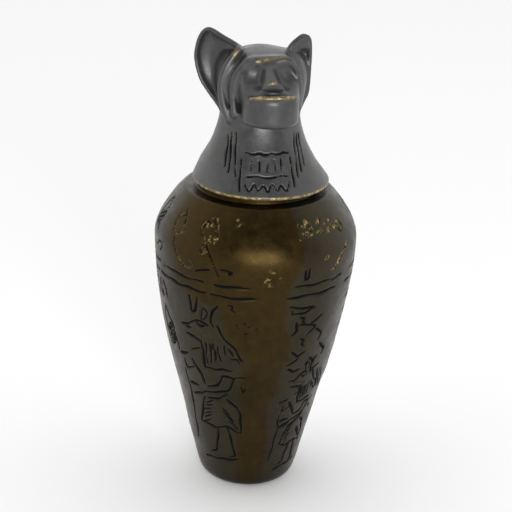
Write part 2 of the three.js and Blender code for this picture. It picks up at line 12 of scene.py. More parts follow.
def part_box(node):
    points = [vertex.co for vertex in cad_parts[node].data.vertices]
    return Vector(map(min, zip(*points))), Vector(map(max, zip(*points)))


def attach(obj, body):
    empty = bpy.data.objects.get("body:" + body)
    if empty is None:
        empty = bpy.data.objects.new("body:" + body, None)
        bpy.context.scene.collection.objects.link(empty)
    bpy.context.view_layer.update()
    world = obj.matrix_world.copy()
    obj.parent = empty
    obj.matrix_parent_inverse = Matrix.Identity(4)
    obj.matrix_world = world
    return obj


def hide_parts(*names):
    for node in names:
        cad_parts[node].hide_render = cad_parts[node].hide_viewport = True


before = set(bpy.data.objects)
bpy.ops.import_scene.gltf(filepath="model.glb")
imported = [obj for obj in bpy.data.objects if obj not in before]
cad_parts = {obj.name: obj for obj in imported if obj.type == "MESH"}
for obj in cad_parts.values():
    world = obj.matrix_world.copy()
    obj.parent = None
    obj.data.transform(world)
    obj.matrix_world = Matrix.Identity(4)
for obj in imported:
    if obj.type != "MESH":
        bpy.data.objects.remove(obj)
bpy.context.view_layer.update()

# ---------------------------------------------------------------- driving dimensions, mm

SEAT_LEVEL = 100.0  # where the lid rests on the neck ring
LEDGE_LEVEL = 98.0
LEDGE_RADIUS = 22.2
NECK_RADIUS = 18.4
MOUTH_RADIUS = 16.4
MOUTH_DEPTH = 8.0
WALL = 2.6
FLOOR = 3.5
FOOT_RADIUS = 14.2

JAR_OUTLINE = [
    (15.4, 0.9), (17.4, 8), (21.2, 25), (26.1, 45), (29.4, 63),
    (31.05, 80), (30.1, 87), (25.8, 94), (LEDGE_RADIUS, LEDGE_LEVEL),
]
LID_OUTLINE = [
    (20.6, 100.9), (19.7, 102.4), (17.9, 105.4), (14.9, 110.6),
    (12.6, 115.6), (11.4, 119.6), (11.2, 124),
]
LIP_SHIFT = (1.0, -0.4)  # the lip was cast a little off the axis, along X and Y
LIP_SHIFT_RISE = 6.0
PLUG_RADIUS = 15.8
PLUG_BORE = 13.4
PLUG_DEPTH = 5.0
LID_HOLLOW = [
    (PLUG_BORE, 102), (12.4, 106), (9.6, 112), (8.2, 117), (6.6, 121.5), (3.6, 124.4),
]

# Metres for each millimetre of these outlines: the CAD jar ends at the seat.
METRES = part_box("jar")[1].z / SEAT_LEVEL

rng = np.random.default_rng(41)

# ---------------------------------------------------------------- outlines and walls


def between(before, a, b, after, t):
    """Points on a smooth curve from a to b that heads along its neighbours at both ends."""
    ta, tb = (b - before) / 2, (after - a) / 2
    cubic = (2 * a - 2 * b + ta + tb) * t**3 + (-3 * a + 3 * b - 2 * ta - tb) * t**2
    return cubic + ta * t + a


def smooth_run(outline, steps):
    """A smooth run of (radius, height) through the named points of an outline."""
    p = np.array(outline, float)
    p = np.vstack([p[:1], p, p[-1:]])
    where = np.linspace(0, len(outline) - 1, steps + 1)
    i = np.minimum(where.astype(int), len(outline) - 2)
    t = (where - i)[:, None]
    return between(p[i], p[i + 1], p[i + 2], p[i + 3], t)


def spaced(run, step):
    """The same run with its points a step apart along it."""
    along = np.concatenate([[0], np.cumsum(np.hypot(*np.diff(run, axis=0).T))])
    count = max(1, round(along[-1] / step))
    where = np.linspace(0, along[-1], count + 1)
    return np.column_stack([np.interp(where, along, run[:, axis]) for axis in (0, 1)])


JAR_WALL = smooth_run(JAR_OUTLINE, 200)
LID_WALL = smooth_run(LID_OUTLINE, 120)
HOLLOW_WALL = smooth_run(LID_HOLLOW, 60)


def radius_at(wall, height):
    return np.interp(height, wall[:, 1], wall[:, 0])


def clamp01(value):
    return np.clip(value, 0, 1)


def smooth_step(value):
    value = clamp01(value)
    return value * value * (3 - 2 * value)


def wrapped(angle):
    """An angle in radians brought between -pi and pi."""
    return (angle + np.pi) % (2 * np.pi) - np.pi


def waves(points, wavelength, seed, count=14):
    """Gentle unevenness between about -1 and 1: plane waves in seeded directions."""
    dice = np.random.default_rng(seed)
    total = np.zeros(len(points))
    for _ in range(count):
        direction = dice.normal(size=3)
        direction /= np.linalg.norm(direction)
        length = wavelength * dice.uniform(0.7, 1.5)
        total += np.sin(points @ direction * (2 * np.pi / length) + dice.uniform(0, 2 * np.pi))
    return total / math.sqrt(count)


# ---------------------------------------------------------------- engraving

FIGURE_SCALE_RADIUS = 26.0  # engraved drawings are laid out in mm on this radius
GROOVE_WIDTH = 1.15
GROOVE_DEPTH = 0.45
BURR_HEIGHT = 0.08


def stroke(points, width=GROOVE_WIDTH, depth=GROOVE_DEPTH, brass=0.0, wobble=0.2):
    """One hand-cut stroke: points are (angle in radians, height), evened out along the
    line, a little unsteady, and tapered at both ends."""
    points = np.array(points, float)
    flat = points * [FIGURE_SCALE_RADIUS, 1]
    along = np.concatenate([[0], np.cumsum(np.hypot(*np.diff(flat, axis=0).T))])
    count = max(2, int(along[-1] / 0.9))
    where = np.linspace(0, along[-1], count + 1)
    path = np.column_stack([np.interp(where, along, flat[:, axis]) for axis in (0, 1)])
    for axis in (0, 1):
        turn = where / rng.uniform(0.9, 1.8) + rng.uniform(0, 6)
        path[:, axis] += wobble * np.sin(turn) + rng.normal(0, 0.6 * wobble)
    share = where / along[-1]
    taper = 0.55 + 0.45 * np.minimum(1, 6 * np.minimum(share, 1 - share) + 0.25)
    swell = 1 + 0.3 * np.sin(where / rng.uniform(0.8, 2.2) + rng.uniform(0, 6))
    half = width / 2 * taper * swell * rng.uniform(0.85, 1.2)
    return {
        "path": path / [FIGURE_SCALE_RADIUS, 1],
        "half": half,
        "depth": depth * rng.uniform(0.8, 1.15),
        "brass": brass,
    }


def engraved(angle, height, wall, strokes):
    """For points on a wall: how far each is pushed in, and its shares of groove and brass."""
    push = np.zeros(len(angle))
    groove = np.zeros(len(angle))
    brass = np.zeros(len(angle))
    for cut in strokes:
        path, half = cut["path"], cut["half"]
        margin = 2.2 * half.max()
        middle = wrapped(path[:, 0].mean())
        reach = np.ptp(path[:, 0]) / 2 + margin / radius_at(wall, path[:, 1].mean())
        low, high = path[:, 1].min() - margin, path[:, 1].max() + margin
        near = np.flatnonzero(
            (height > low) & (height < high) & (np.abs(wrapped(angle - middle)) < reach)
        )
        if not len(near):
            continue
        closest = np.full(len(near), -9.0)
        for i in range(len(path) - 1):
            (a0, z0), (a1, z1) = path[i], path[i + 1]
            z = (z0 + z1) / 2
            radius = radius_at(wall, z)
            lean = math.hypot(1, radius_at(wall, z + 0.5) - radius_at(wall, z - 0.5))
            px, py = wrapped(angle[near] - a0) * radius, (height[near] - z0) * lean
            ux, uy = (a1 - a0) * radius, (z1 - z0) * lean
            t = clamp01((px * ux + py * uy) / (ux * ux + uy * uy + 1e-9))
            width = half[i] + (half[i + 1] - half[i]) * t
            closest = np.maximum(closest, 1 - np.hypot(px - t * ux, py - t * uy) / width)
        cutting = smooth_step(closest)
        burr = smooth_step(1 - np.abs(closest + 0.25) / 0.45) * BURR_HEIGHT
        push[near] = np.maximum(push[near], cut["depth"] * cutting) - burr * (cutting == 0)
        groove[near] = np.maximum(groove[near], cutting)
        brass[near] = np.maximum(brass[near], cut["brass"] * smooth_step(closest + 0.4))
    return push, groove, brass


def drawing(centre_degrees, lines, **look):
    """Strokes drawn in mm about the middle of a panel: x to the right, z the true height."""
    centre = math.radians(centre_degrees)
    return [stroke([(centre + x / FIGURE_SCALE_RADIUS, z) for x, z in line], **look) for line in lines]


def moved(lines, x, z):
    return [[(px + x, pz + z) for px, pz in line] for line in lines]


def fan(first, last, count):
    """Lines side by side, blended from a first line to a last one."""
    first, last = np.array(first, float), np.array(last, float)
    return [first + (last - first) * k / max(1, count - 1) for k in range(count)]


THIN = 0.65  # widths of the finest strokes and of the broadest
BROAD = 1.6


def attendant(degrees, ground, height, facing, depth=GROOVE_DEPTH):
    """A striding attendant in kilt and wig, with an animal's head and a staff. facing is -1
    for one that looks towards -x. Levels are fractions of its height above the ground."""

    def line(*points):
        return [(-px * facing * height / 50, ground + share * height) for px, share in points]

    def cut(lines, width=GROOVE_WIDTH, brass=0.0):
        return drawing(degrees, lines, width=width, depth=depth, brass=brass)

    head = [
        line((-8.8, 0.99), (-5.9, 1.0), (-2.9, 1.05), (-0.7, 1.05), (0.6, 1.04)),  # top of the muzzle
        line((-2.7, 1.03), (-1.4, 1.01), (-0.2, 1.03)),  # eye
        line((-6.8, 0.98), (-5, 0.98)),
        line((-7.2, 0.93), (-4.5, 0.93), (-1.8, 0.91), (-1.6, 0.8), (-1.1, 0.73)),  # jaw, front of the wig
        line((3.6, 1.19), (2.3, 1.14), (1.6, 1.07), (2.3, 1.03)),  # farther ear
        line((3.4, 1.04), (4.1, 1.0), (6.1, 0.95), (8.6, 0.885), (10.4, 0.82)),  # back of the wig
        line((-1.4, 0.73), (1.6, 0.73), (4.5, 0.74), (7.3, 0.735)),  # collar
    ]
    arms = [
        line((-1.1, 0.59), (2.9, 0.61), (3.9, 0.66), (4.3, 0.7), (5.9, 0.7), (7.9, 0.685)),
        line((7.9, 0.685), (7, 0.6), (5.4, 0.57), (-1.6, 0.53), (-4.1, 0.5)),
        line((-6.1, 0.755), (-4.5, 0.705), (-2, 0.595)),  # chest
        line((-2, 0.475), (2, 0.5), (6.1, 0.55)),  # belt
    ]
    legs = [
        line((-3.2, 0.48), (-5.4, 0.36), (-7, 0.27), (-1, 0.25), (4.5, 0.28), (10, 0.245)),  # kilt
        line((10, 0.245), (10, 0.37), (9, 0.45)),
        line((0.9, 0.24), (-0.9, 0.06), (-3.8, 0.04)),  # forward leg and foot
        line((4.5, 0.28), (7.7, 0.05), (4.7, 0.03)),  # rear leg and foot
        line((-8.2, -0.02), (0.5, 0), (9.5, 0.02)),  # ground line
    ]
    fists = [
        line((-10.9, 0.76), (-7.5, 0.785)),
        line((-8.8, 0.55), (-5, 0.565)),
        line((-8.2, 0.48), (-4.1, 0.5)),
        line((5.7, 0.51), (8.6, 0.455)),
    ]
    fine = [
        line((-0.9, 1.07), (-0.7, 1.16), (0.9, 1.12), (0.5, 1.08), (-0.9, 1.07)),  # nearer ear
        line((-10.2, 0.65), (-10.4, 0.56), (-9.6, 0.48), (-10.2, 0.42), (-12, 0.1)),  # staff
        line((-9.3, 0.73), (-9.5, 0.66), (-5.4, 0.7)),
        line((-5.4, 0.825), (-2.3, 0.855)),
        line((5.7, 0.825), (8.9, 0.82), (9.4, 0.8)),
        line((9.9, 0.62), (10.7, 0.58), (11.7, 0.62)),
        line((7.9, 0.685), (11.1, 0.705)),
    ]
    wig = fan(line((-0.4, 0.905), (0.1, 0.755)), line((3.4, 0.91), (4.1, 0.8)), 4)
    wig += fan(line((5, 0.92), (5.7, 0.845)), line((6.8, 0.895), (7.7, 0.85)), 2)
    kilt = fan(line((0, 0.47), (-3, 0.44)), line((-2, 0.31), (-5.4, 0.275)), 6)
    kilt += fan(line((3.4, 0.43), (6.6, 0.37)), line((5.6, 0.33), (9.2, 0.28)), 4)
    shine = fan(line((-3, 0.88), (-1.6, 0.93), (0, 0.95)), line((0.6, 0.84), (2.6, 0.86), (2.8, 0.93)), 2)
    return (
        cut(head + arms + legs)
        + cut(fists, BROAD)
        + cut(fine + kilt, THIN)
        + cut(wig, 0.9)
        + cut(shine, 0.4, 0.8)
    )


def lotus(foot, width, stem):
    """A lotus bud of two petals on a calyx, with a stem that leaves from its foot."""
    petals = [
        [(-0.4, 0.4), (-0.7, 0.8), (-0.5, 1.4), (0.1, 1.2)],
        [(0, 1.6), (0.35, 1.2), (0.6, 0.6)],
    ]
    calyx = [(-0.35, 0.1), (0, 0), (0.45, 0.25), (0.7, 0.5)]
    bud = [[(x * width, foot + z * width) for x, z in line] for line in [*petals, calyx]]
    return bud + [[(0, foot)] + stem]


def feather(foot, top, width, hatches, lean=0.0):
    """A feather or leaf standing in an outline, hatched across."""
    half = width / 2
    shoulder = top - width

    def across(share, z):
        return share * half + lean * (z - foot)

    corners = ((-1, foot), (-1, shoulder), (0, top), (1, shoulder), (1, foot))
    outline = [(across(share, z), z) for share, z in corners]

    def hatch(z):
        return [(across(-0.8, z), z), (across(0.8, z + 0.6 * width), z + 0.6 * width)]

    return [outline] + fan(hatch(foot), hatch(top - 1.6 * width), hatches)


def specks(degrees, height, width, tall, count, brass=1.0):
    """Scattered nicks, most of them bare brass: worn metal, and on the right of the jar's shoulder partly a
    painted highlight.
    """
    nicks = []
    for _ in range(count):
        x, z = rng.uniform(-width / 2, width / 2), height + rng.uniform(-tall / 2, tall / 2)
        turn, length = rng.uniform(0, math.pi), rng.uniform(0.3, 1.3)
        nicks.append([(x, z), (x + length * math.cos(turn), z + length * math.sin(turn))])
    return drawing(degrees, nicks, width=rng.uniform(0.4, 0.9), depth=0.18, brass=brass, wobble=0.08)


# Plain signs, drawn about their own middle. None of them is a letter.
SLAB = [[(-3.6, 1.4), (3.4, 0)], [(-3.4, 0.2), (-3.6, -1.2), (0, -1.6), (3.2, 0)]]
CROOK = [[(-1.1, 1), (4.8, -0.8), (4.1, -1.6), (1.8, -3.8)], [(-1.1, 1.4), (-0.9, -1.3), (-2.3, -2.6)]]
SQUIGGLE = [[(-0.9, 1.2), (0.7, 0.8), (0.3, -0.6), (1.1, -1.2)]]
CHEVRON = [[(-2.1, 1), (0, -1), (2.4, 0)]]
PEAK = [[(-1.7, -1.2), (0, 1.2), (2, -1.2)]]
BLADE = [[(-1.9, -0.9), (1.8, 0.9)]]
HOOK = [[(-1.3, 1.6), (1.4, -1.4), (0.6, -3)]]
BOX = [[(-0.7, 1.3), (-0.5, -1.5), (0.6, -1.4), (0.5, 1.6)]]
TROUGH = [[(-1.3, 2.7), (-0.8, -2.3), (-0.1, -2.8), (0.8, -1.9), (1.2, 3)]]


def sign_column(degrees, signs):
    """Signs down a column, each with its place: x from the middle and height."""
    return [cut for sign, x, z in signs for cut in drawing(degrees, moved(sign, x, z))]


RING_UPPER = 76.6
RING_LOWER = 73.3
UPPER_ARCS = [(-68, -36), (-29, -8), (14, 49), (60, 118), (130, 172), (184, 230), (240, 286)]
LOWER_ARCS = [(-72, -35), (-31, -7), (11, 44), (56, 112), (122, 170), (178, 226), (236, 284)]


def broken_ring(height, arcs, **look):
    """A level line with gaps, its arcs in degrees."""
    return [stroke([(math.radians(a), height), (math.radians(b), height)], **look) for a, b in arcs]


def front_strokes():
    left_signs = [(TROUGH, -3.6, 68.3), (SQUIGGLE, 7.2, 69.6), (BLADE, 0, 80.4)]
    right_signs = [
        (SLAB, 0, 68.8), (SQUIGGLE, 0, 65), (CROOK, 0, 62.8), (BLADE, 5, 64.3), (HOOK, 6.3, 59.4),
        (SQUIGGLE, 0.6, 57), (CHEVRON, 0, 53.2), (HOOK, 9.6, 52.6), (BLADE, -1.2, 49.9),
        (CHEVRON, -0.2, 47), (PEAK, 5.4, 49), (BLADE, 8.6, 45.6), (BOX, 0.3, 80.4),
    ]
    first_stem = [(0.3, 86), (1.4, 83.2), (3.4, 80.8), (5.7, 79.8), (7.3, 81), (6.2, 82)]
    second_stem = [(-0.6, 87.6), (-1.2, 85.2)]
    return (
        attendant(-36, 10.5, 50, -1)
        + attendant(34, 7, 36, -1, depth=0.3)
        + sign_column(-36, left_signs)
        + sign_column(22, right_signs)
        + drawing(46, fan([(0, 44.2), (3, 36.5)], [(2.4, 43.2), (5.6, 35.2)], 3), width=THIN)
        + drawing(-67, feather(49, 62.5, 5, 8, lean=-0.2), width=0.8)
        + drawing(-84, fan([(-6, 72), (-5, 62)], [(6, 71), (7.5, 66)], 8), width=THIN)
        + drawing(-60, lotus(88.4, 3.8, first_stem), width=0.8, brass=0.75)
        + drawing(-36, lotus(88.4, 4, second_stem), width=0.9, brass=0.6)
        + drawing(-36, [[(0.2, 88.2), (2.3, 83.8), (4.3, 79.5)]], width=THIN)
        + drawing(-22, [[(-1.6, 82.2), (0, 81.9), (1.2, 81.2), (0.2, 80.6)]])
        + drawing(-74, [[(-2.6, 81.2), (-0.4, 83.2), (1.6, 82.5), (0.3, 80.5)]], width=0.8)
        + specks(-36, 91.5, 5, 6, 16)
        + specks(-37, 86.5, 2, 4, 8)
        + specks(-19, 94.4, 1.6, 1.6, 4)
        + specks(-13, 63, 4.5, 5, 14, brass=0.3)
        + drawing(-6, [[(-1.6, 63), (0.6, 63.6), (1.6, 64)]], width=0.4, depth=0.2, brass=0.5)
        # The brassy nicks and rubs on the right of the shoulder, here and in the next four lines, are partly
        # worn brass and partly a painted highlight where a lamp's reflection falls.
        + specks(29, 92, 9, 3.6, 26)
        + specks(42, 92.5, 5, 4.5, 12)
        + drawing(54, [[(-1, 89.6), (-1.4, 91.4), (0.6, 92), (1.4, 90.6), (-1, 89.6)]], width=0.8, brass=0.9)
        + drawing(48, [[(3.4, 86), (1.4, 84.2), (-0.7, 82.5), (-2.4, 81)]], width=1.2, depth=0.25, brass=1)
        + drawing(37, [[(-1, 83.6), (0, 84.2)], [(0.6, 79.8), (2, 80)]], width=1.5, depth=0.2, brass=0.9)
        + specks(3, 79, 4, 6, 7)
        + drawing(84, feather(86, 95, 3.6, 5), width=0.8)
    )


def back_strokes():
    return (
        attendant(104, 10.5, 48, 1)
        + attendant(-112, 10.5, 48, 1)
        + drawing(180, feather(30, 66, 7, 6))
        + drawing(-86, feather(85, 95, 4, 5), width=0.8)
        + sign_column(72, [(SLAB, 0, 67), (CHEVRON, 0, 60), (SQUIGGLE, 1, 54), (BLADE, 0, 47), (PEAK, 0, 39)])
        + sign_column(148, [(SLAB, 0, 66), (CROOK, 0, 59), (CHEVRON, 0, 49), (SQUIGGLE, 0, 42)])
        + sign_column(-150, [(TROUGH, 0, 66), (CHEVRON, 0, 57), (PEAK, 0, 50), (BLADE, 0, 43)])
        + drawing(130, lotus(87, 4, [(0.4, 84), (2.6, 81)]), width=0.8, brass=0.6)
        + drawing(-130, lotus(87, 4, [(-0.4, 84), (-2.6, 81)]), width=0.8, brass=0.6)
    )


def jar_strokes():
    rings = broken_ring(RING_UPPER, UPPER_ARCS, width=1.0) + broken_ring(RING_LOWER, LOWER_ARCS, width=1.25)
    return rings + front_strokes() + back_strokes()


# ---------------------------------------------------------------- meshes


def new_piece(name, points, faces, shares):
    """A smooth-shaded mesh object from points in mm, with a value for each point by name."""
    mesh = bpy.data.meshes.new(name)
    mesh.from_pydata((points * METRES).tolist(), [], faces)
    mesh.validate()
    mesh.shade_smooth()
    for key, values in shares.items():
        layer = mesh.attributes.new(key, "FLOAT", "POINT")
        layer.data.foreach_set("value", values.astype(np.float32))
    piece = bpy.data.objects.new(name, mesh)
    bpy.context.scene.collection.objects.link(piece)
    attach(piece, "root")
    return piece


# ---------------------------------------------------------------- jar

ROW_STEP = 0.42
INNER_STEP = 3.0
COLUMNS = 384

# Edges of the browner, polished band down the front: (height, degrees), with the degrees
# that each edge takes to fade.
BAND_LEFT = [(0, -20), (15, -17), (34, -17), (44, -11), (54, -17), (68, -30), (76, -58), (98, -72)]
BAND_RIGHT = [
    (0, 10), (30, 7), (38, 9), (44, 14), (57, 17), (63, 15), (71, 12), (80, 16), (98, 20),
]
BAND_LEFT_FADE = 12
BAND_RIGHT_FADE = 6


def column_angles():
    """Angles of the mesh's columns, closer together on the engraved panels."""
    angle = np.linspace(-180, 180, 1441)
    panel = smooth_step((82 - np.abs(angle)) / 8) * smooth_step((np.abs(angle + 1) - 9) / 4)
    density = 0.62 + 0.38 * panel
    total = np.concatenate([[0], np.cumsum((density[1:] + density[:-1]) / 2)])
    where = np.linspace(0, total[-1], COLUMNS + 1)[:-1]
    return np.radians(np.interp(where, total, angle))


def turned_grid(profile, angles):
    """Points and faces of a turned surface. Its profile starts and ends on the axis."""
    ring = np.column_stack([np.sin(angles), -np.cos(angles)])
    inner = profile[1:-1]
    points = [np.array([[0, 0, profile[0][1]]])]
    for radius, height in inner:
        points.append(np.column_stack([ring * radius, np.full(len(angles), height)]))
    points.append(np.array([[0, 0, profile[-1][1]]]))
    points = np.vstack(points)
    n = len(angles)
    faces = []
    first, last = 0, len(points) - 1
    for j in range(n):
        k = (j + 1) % n
        faces.append((first, 1 + k, 1 + j))
        for i in range(len(inner) - 1):
            a, b = 1 + i * n, 1 + (i + 1) * n
            faces.append((a + j, a + k, b + k, b + j))
        a = 1 + (len(inner) - 1) * n
        faces.append((a + j, a + k, last))
    return points, faces


def rounded(profile_part, radius, steps=4):
    """The corner at the middle of three (radius, height) points, rounded off."""
    before, corner, after = (np.array(p, float) for p in profile_part)
    a = corner + (before - corner) / np.linalg.norm(before - corner) * radius
    b = corner + (after - corner) / np.linalg.norm(after - corner) * radius
    t = np.linspace(0, 1, steps + 1)[:, None]
    return (1 - t) ** 2 * a + 2 * t * (1 - t) * corner + t**2 * b


def jar_profile():
    """(radius, height) from the middle of the underside, up the wall and over the neck ring,
    then down the hollow to the middle of its floor."""
    wall = spaced(JAR_WALL, ROW_STEP)
    inner = JAR_WALL[(JAR_WALL[:, 1] > FLOOR + 4) & (JAR_WALL[:, 1] < SEAT_LEVEL - MOUTH_DEPTH - 4)]
    inner = spaced(inner - [WALL, 0], INNER_STEP)[::-1]
    floor_radius = radius_at(JAR_WALL, FLOOR) - 1.6 * WALL
    ledge = (LEDGE_RADIUS, LEDGE_LEVEL)
    mouth_foot = (MOUTH_RADIUS, SEAT_LEVEL - MOUTH_DEPTH)
    return np.vstack([
        [(0, 0), (FOOT_RADIUS * 0.5, 0)],
        rounded([(0, 0), (FOOT_RADIUS + 0.4, 0), tuple(wall[2])], 1.2),
        wall[3:-2],
        rounded([tuple(wall[-4]), ledge, (NECK_RADIUS, LEDGE_LEVEL)], 0.7),
        rounded([ledge, (NECK_RADIUS, LEDGE_LEVEL), (NECK_RADIUS, SEAT_LEVEL)], 0.4),
        rounded([(NECK_RADIUS, LEDGE_LEVEL), (NECK_RADIUS, SEAT_LEVEL), (MOUTH_RADIUS, SEAT_LEVEL)], 0.3),
        rounded([(NECK_RADIUS, SEAT_LEVEL), (MOUTH_RADIUS, SEAT_LEVEL), mouth_foot], 0.3),
        [mouth_foot],
        inner,
        [(floor_radius, FLOOR), (floor_radius / 2, FLOOR), (0, FLOOR)],
    ])


def polished_band(points, angle, height):
    """Share of the polished tone: 1 inside the band, with uneven edges."""
    left = np.interp(height, *zip(*BAND_LEFT))
    right = np.interp(height, *zip(*BAND_RIGHT))
    degrees = np.degrees(angle) + 2.5 * waves(points, 14, 7)
    inside_left = smooth_step((degrees - left) / BAND_LEFT_FADE + 0.5)
    return inside_left * smooth_step((right - degrees) / BAND_RIGHT_FADE + 0.5)


def jar_piece():
    points, faces = turned_grid(jar_profile(), column_angles())
    angle = np.arctan2(points[:, 0], -points[:, 1])
    radius = np.hypot(points[:, 0], points[:, 1])
    height = points[:, 2]
    outside = (radius > radius_at(JAR_WALL, height) - 0.3) & (height > 1.2) & (height < LEDGE_LEVEL - 0.5)

    push = np.zeros(len(points))
    groove = np.zeros(len(points))
    brass = np.zeros(len(points))
    push[outside], groove[outside], brass[outside] = engraved(
        angle[outside], height[outside], JAR_WALL, jar_strokes()
    )
    slope = np.gradient(JAR_WALL[:, 0], JAR_WALL[:, 1])
    lean = np.interp(height, JAR_WALL[:, 1], slope)
    normal = np.column_stack([np.sin(angle), -np.cos(angle), -lean])
    normal /= np.linalg.norm(normal, axis=1)[:, None]
    settle = smooth_step((height - 1) / 10) * smooth_step((LEDGE_LEVEL - height) / 6) * outside
    uneven = 0.16 * waves(points, 38, 5) + 0.05 * waves(points, 11, 6)
    points = points + normal * (uneven * settle - push)[:, None]

    shares = {"groove": groove, "brass": brass, "polish": polished_band(points, angle, height)}
    return new_piece("jar_cast", points, faces, shares)


# ---------------------------------------------------------------- distance fields of the head


def length3(x, y, z):
    return np.sqrt(x * x + y * y + z * z)


def blend(a, b, reach):
    overlap = np.maximum(reach - np.abs(a - b), 0) / reach
    return np.minimum(a, b) - overlap * overlap * reach / 4


def carve(a, b, reach):
    return -blend(-a, b, reach)


def ellipsoid(p, c, r, flat=0.0):
    """Distance to an ellipsoid, lengthened along X by a flat half length."""
    dx = np.maximum(np.abs(p[0] - c[0]) - flat, 0)
    dy, dz = p[1] - c[1], p[2] - c[2]
    inner = length3(dx / r[0], dy / r[1], dz / r[2])
    outer = length3(dx / r[0] ** 2, dy / r[1] ** 2, dz / r[2] ** 2)
    return inner * (inner - 1) / np.maximum(outer, 1e-6)


def bar(p, a, b, ra, rb=None):
    """Distance to a round bar whose radius runs from ra to rb."""
    rb = ra if rb is None else rb
    u = [b[i] - a[i] for i in range(3)]
    v = [p[i] - a[i] for i in range(3)]
    t = clamp01((v[0] * u[0] + v[1] * u[1] + v[2] * u[2]) / (u[0] ** 2 + u[1] ** 2 + u[2] ** 2))
    return length3(*(v[i] - t * u[i] for i in range(3))) - (ra + t * (rb - ra))


def ridge(p, points, radius):
    return np.minimum.reduce([bar(p, points[i - 1], points[i], radius) for i in range(1, len(points))])


def drum(p, c, radius, low, high, soft):
    """Distance to an upright round drum with softened edges."""
    across = np.hypot(p[0] - c[0], p[1] - c[1]) - radius + soft
    up = np.abs(p[2] - (low + high) / 2) - (high - low) / 2 + soft
    return np.minimum(np.maximum(across, up), 0) + np.hypot(np.maximum(across, 0), np.maximum(up, 0)) - soft


# An ear is a dished shell in an upright plane. Its outline is a closed curve in that plane,
# (out from the root, height); turn is how far the plane is swung back, side is -1 or 1.
EARS = [
    {
        "side": -1, "root": (-12, -1), "turn": 26, "dish": 2.8, "dish_top": 150,
        "outline": [
            (-5.8, 140.4), (0.4, 143.6), (4.6, 145.2), (7.4, 142.4), (8.6, 136.4), (7, 130.2),
            (4.4, 126.4), (0.8, 122.4), (-1.8, 120.8), (-1, 126), (-1.8, 132), (-4.4, 137.4),
        ],
    },
    {
        "side": 1, "root": (9.6, -2), "turn": 24, "dish": 3.2, "dish_top": 140,
        "outline": [
            (-2.4, 140.6), (1, 143.5), (3, 143.9), (4.9, 142.6), (5.6, 138.4), (5.5, 131),
            (5.2, 126.6), (3.8, 124.2), (1.6, 122.8), (0.6, 126), (0, 132), (-1, 137),
        ],
    },
]
EAR_THICKNESS = 2.0
EAR_RIM = 0.45
EAR_BOWL_RUN = 5.0
EAR_REACH = 13.0  # the ear's field is worked out only this near its root, and above its foot
EAR_FOOT = 115.0
FAR_AWAY = 9.0


def closed_loop(outline, steps=72):
    """A smooth closed curve through the points of an outline."""
    p = np.array(outline, float)
    n = len(p)
    where = np.linspace(0, n, steps + 1)
    i = where.astype(int) % n
    t = (where - where.astype(int))[:, None]
    return between(p[i - 1], p[i], p[(i + 1) % n], p[(i + 2) % n], t)


for ear in EARS:
    ear["loop"] = closed_loop(ear["outline"])


def loop_distance(loop, u, z):
    """Signed distance to a closed loop in its plane, negative inside."""
    nearest = np.full(u.shape, 99.0)
    inside = np.zeros(u.shape, bool)
    for (u0, z0), (u1, z1) in zip(loop[:-1], loop[1:]):
        du, dz = u1 - u0, z1 - z0
        t = clamp01(((u - u0) * du + (z - z0) * dz) / (du * du + dz * dz + 1e-12))
        nearest = np.minimum(nearest, np.hypot(u - u0 - t * du, z - z0 - t * dz))
        if abs(dz) > 1e-9:
            inside ^= ((z0 > z) != (z1 > z)) & (u < u0 + (z - z0) * du / dz)
    return np.where(inside, -nearest, nearest)


def ear_field(p, ear):
    x, y, z = p
    swing = math.radians(ear["turn"])
    dx, dy = (x - ear["root"][0]) * ear["side"], y - ear["root"][1]
    result = np.full(x.shape, FAR_AWAY)
    near = (np.abs(dx) < EAR_REACH) & (np.abs(dy) < EAR_REACH) & (z > EAR_FOOT)
    dx, dy, z = dx[near], dy[near], z[near]
    out = dx * math.cos(swing) + dy * math.sin(swing)
    front = dx * math.sin(swing) - dy * math.cos(swing)
    rim = loop_distance(ear["loop"], out, z)
    run = clamp01(-rim / EAR_BOWL_RUN)
    depth = ear["dish"] * clamp01((ear["dish_top"] - z) / 2)
    bowl = depth * (1 - (1 - run) ** 2)
    steepness = np.hypot(1, 2 * depth * (1 - run) / EAR_BOWL_RUN)
    proud = (front + bowl) / steepness
    shell = np.maximum(proud, -proud - EAR_THICKNESS)
    bead = np.hypot(rim + EAR_RIM, front + EAR_RIM) - EAR_RIM
    result[near] = blend(carve(rim + EAR_RIM, -shell, 1), bead, 1.2)
    return result


FACE = 0.4  # the brow sits this far to the +X side of the axis
MUZZLE = 1.25  # and the muzzle a little farther, for the head is turned that way

# Folds of the headcloth, each a line and a radius: one beside the face at +X, then two
# between the face and the ear at -X.
CLOTH_FOLDS = [
    ([(7.0, -9.0, 138), (9.0, -8.8, 134.8), (9.9, -8.4, 130), (9.4, -9.0, 124.6)], 0.75),
    ([(-5.6, -7.6, 137.4), (-8.4, -7.4, 133.4), (-9.2, -7.2, 128.4), (-8.6, -7.8, 122)], 1.0),
    (
        [
            (-7.8, -4.4, 139.8), (-11, -5.0, 135.4), (-12.4, -5.2, 130.4),
            (-11.8, -5.6, 125), (-10.2, -6.4, 120),
        ],
        1.1,
    ),
]
LIP = [
    (MUZZLE - 6.3, -16.2, 128.6), (MUZZLE - 3.9, -18.3, 129.5), (MUZZLE - 0.6, -19.1, 129.7),
    (MUZZLE + 3.4, -18.5, 129.7), (MUZZLE + 6.0, -16.4, 129.2),
]

NOSE = 0.5  # the nose's tip leans back towards -X
NOSE_TIP = (-18.1, 133.9)  # y and z of the upper edge of its flat front
NOSE_ROOT = (-10.4, 137.6)
NOSE_FOOT = 130.9
NOSE_TIP_HALF = 1.9  # half its width along the upper edge of the front
NOSE_ROOT_HALF = 1.1


def curved(points, steps=6):
    """A smooth line through a few points."""
    p = np.array([points[0], *points, points[-1]], float)
    line = []
    for neighbours in zip(p[:-3], p[1:-2], p[2:-1], p[3:]):
        line += [between(*neighbours, t) for t in np.arange(steps) / steps]
    return [tuple(point) for point in line] + [tuple(points[-1])]


